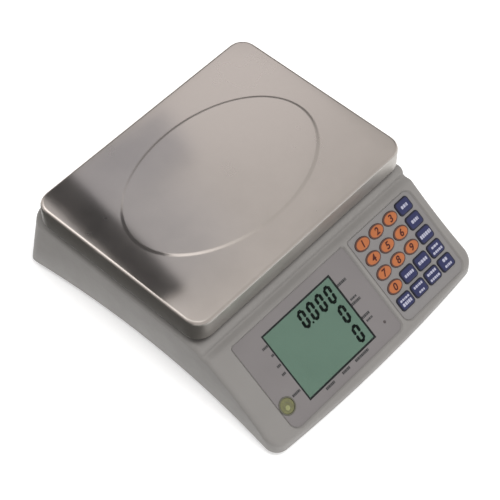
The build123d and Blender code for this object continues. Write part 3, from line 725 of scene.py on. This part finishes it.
def label_bars():
    """Printed label marks round the display, as lines of small plain blocks."""
    pattern = (1.6, 1.3, 1.9, 0.9, 1.5, 1.7, 1.2)
    gap = 0.35
    for name, lines in LABELS.items():
        rows = []
        for left, right, v, height in lines:
            place = left
            index = len(name)
            while place < right - 0.7:
                length = min(pattern[index % len(pattern)], right - place)
                rows.append((place + length / 2, -v, length, height * 1.15))
                place += length + gap
                index += 1
        vertices, faces = bars(rows, 0, 0, OVERLAY_TOP + 0.002, 0.02)
        mesh_piece(f"label_{name}", vertices, faces, label_ink, "housing", False)


polariser()
lit_digits()
label_bars()

# ---------------------------------------------------------------- bubble level


def level_lens():
    """Domed clear top of the vial with its circle and bubble."""

    def turned(outline, profile, x, v, base):
        """Rings of an outline, scaled and raised along a profile."""
        return [panel_ring(outline, x, v, base + rise, 0, scale) for scale, rise in profile]

    outline = oval(LEVEL_RADIUS, LEVEL_RADIUS)
    lens = ((1.0, -1.0), (1.0, 0.0), (0.93, 0.28), (0.8, 0.48), (0.5, 0.68), (0.2, 0.75))
    vertices, faces = loft(turned(outline, lens, LEVEL_X, LEVEL_V, LEVEL_TOP - 0.6))
    mesh_piece("level_lens", vertices, faces, materials["level_fluid"], "housing")
    band = ((0.44, 0.0), (0.44, 0.05), (0.48, 0.05), (0.48, 0.0))
    circle = turned(outline, band, LEVEL_X, LEVEL_V, LEVEL_TOP + 0.06)
    vertices, faces = loft(circle, False, False)
    mesh_piece("level_circle", vertices, faces, materials["level_ring"], "housing")
    drop = oval(BUBBLE_RADIUS, BUBBLE_RADIUS, 40)
    dome = ((1.0, 0.0), (0.92, 0.1), (0.6, 0.2), (0.2, 0.24))
    bubble_x = LEVEL_X + BUBBLE_SHIFT[0]
    bubble_v = LEVEL_V + BUBBLE_SHIFT[1]
    vertices, faces = loft(turned(drop, dome, bubble_x, bubble_v, LEVEL_TOP + 0.1))
    mesh_piece("level_bubble", vertices, faces, bubble_gloss, "housing")


level_lens()

# ---------------------------------------------------------------- studio

# Camera: degrees, then its place from the middle of the pan's top, in metres, and its lens in mm
CAMERA_AZIMUTH = -47.61
CAMERA_ELEVATION = 53.96
CAMERA_BACK = 1.6405
CAMERA_RIGHT = 0.0281
CAMERA_UP = -0.0759
CAMERA_LENS = 120.3

# Cards: name, centre, facing, width, height, tone, spin
CARDS = (
    ("rear_glow", (0.47, 0.46, 0.62), (-0.43, -0.40, -0.6), 0.34, 0.34, (0.88, 0.86, 0.87), 0),
    ("top_glow", (0.0, 0.06, 1.5), (0, 0, -1), 0.55, 0.7, (1.4, 1.4, 1.4), 0),
    ("back_shade", (0.95, 0.85, 0.55), (-0.7, -0.7, 0), 2.4, 0.9, (0.12, 0.12, 0.12), 0),
    ("left_grey", (-0.03, 0.15, 0.29), (0, 0, -1), 0.16, 0.20, (0.46, 0.47, 0.50), 0),
    ("rear_grey", (0.0, 0.180, 0.213), (0, 0, -1), 0.13, 0.08, (0.42, 0.43, 0.47), -20),
    ("left_shade", (-0.117, 0.084, 0.150), (0, 0, -1), 0.040, 0.200, (0.015, 0.016, 0.02), -7),
    ("side_shade", (-0.66, 0.15, 0.001), (0, 0, 1), 1.0, 1.4, (0.13, 0.127, 0.122), 0),
    ("left_wall", (-0.9, 0.3, 0.3), (1, 0, 0), 1.2, 0.6, (0.10, 0.10, 0.10), 0),
)


def add_sheet(name, width, height, material):
    """Flat sheet of the studio, centred on the origin."""
    half_w = width / 2
    half_h = height / 2
    corners = [(-half_w, -half_h, 0), (half_w, -half_h, 0), (half_w, half_h, 0), (-half_w, half_h, 0)]
    mesh = bpy.data.meshes.new(name)
    mesh.from_pydata(corners, [], [(0, 1, 2, 3)])
    mesh.materials.append(material)
    sheet = bpy.data.objects.new(name, mesh)
    scene.collection.objects.link(sheet)
    return sheet


def add_floor():
    """Plain pale floor that glows a little, as paper lit from all round."""
    material, tree, shader = new_material("floor_paper")
    shader.inputs["Base Color"].default_value = (0.9, 0.9, 0.9, 1)
    shader.inputs["Roughness"].default_value = 0.9
    shader.inputs["Emission Color"].default_value = (1, 1, 1, 1)
    shader.inputs["Emission Strength"].default_value = 0.40
    add_sheet("floor", 12.0, 12.0, material)


def add_card(name, centre, facing, width, height, tone, spin):
    """Even card seen only in reflections; facing is the way it looks, spin its turn in degrees."""
    material, tree, shader = new_material(name + "_card")
    shader.inputs["Base Color"].default_value = (0, 0, 0, 1)
    shader.inputs["Specular IOR Level"].default_value = 0.0
    shader.inputs["Emission Color"].default_value = (*tone, 1)
    shader.inputs["Emission Strength"].default_value = 1.0
    card = add_sheet(name, width, height, material)
    turn = Vector(facing).to_track_quat("Z", "Y").to_matrix().to_4x4()
    spun = Matrix.Rotation(math.radians(spin), 4, "Z") @ turn
    card.matrix_world = Matrix.Translation(centre) @ spun
    card.visible_camera = False
    card.visible_diffuse = False
    card.visible_shadow = False


def add_light(name, place, target, size, power, glossy=True):
    """Soft square lamp; one that is not glossy leaves no reflection."""
    light = bpy.data.lights.new(name, "AREA")
    light.size = size
    light.energy = power
    lamp = bpy.data.objects.new(name, light)
    direction = (Vector(target) - Vector(place)).to_track_quat("-Z", "Y")
    lamp.matrix_world = Matrix.Translation(place) @ direction.to_matrix().to_4x4()
    lamp.visible_glossy = glossy
    scene.collection.objects.link(lamp)


def add_world(strength):
    """Even, slightly warm white surroundings."""
    world = bpy.data.worlds.new("studio")
    world.use_nodes = True
    background = world.node_tree.nodes["Background"]
    background.inputs["Color"].default_value = (1.0, 0.985, 0.97, 1)
    background.inputs["Strength"].default_value = strength
    scene.world = world


def add_camera():
    """Camera that looks from the left, high above the front."""
    azimuth = math.radians(CAMERA_AZIMUTH)
    elevation = math.radians(CAMERA_ELEVATION)
    level = Vector((math.sin(azimuth), -math.cos(azimuth), 0))
    back = level * math.cos(elevation) + Vector((0, 0, math.sin(elevation)))
    right = Vector((math.cos(azimuth), math.sin(azimuth), 0))
    up = back.cross(right)
    pan_low, pan_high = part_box("pan")
    pan_top = (pan_low + pan_high) / 2
    pan_top.z = pan_high.z
    data = bpy.data.cameras.new("camera")
    data.sensor_width = 36
    data.lens = CAMERA_LENS
    data.clip_end = 50
    camera = bpy.data.objects.new("camera", data)
    place = pan_top + back * CAMERA_BACK + right * CAMERA_RIGHT + up * CAMERA_UP
    turn = Matrix((right, up, back)).transposed().to_4x4()
    camera.matrix_world = Matrix.Translation(place) @ turn
    scene.collection.objects.link(camera)
    scene.camera = camera


add_floor()
add_world(0.57)
add_light("key_light", (0.0, -0.95, 2.6), (0, 0, 0.05), 1.2, 43, False)
add_light("back_light", (-0.5, 1.6, 2.3), (0, 0, 0.05), 1.4, 9)
for card in CARDS:
    add_card(*card)
add_camera()
scene.view_settings.view_transform = "Standard"
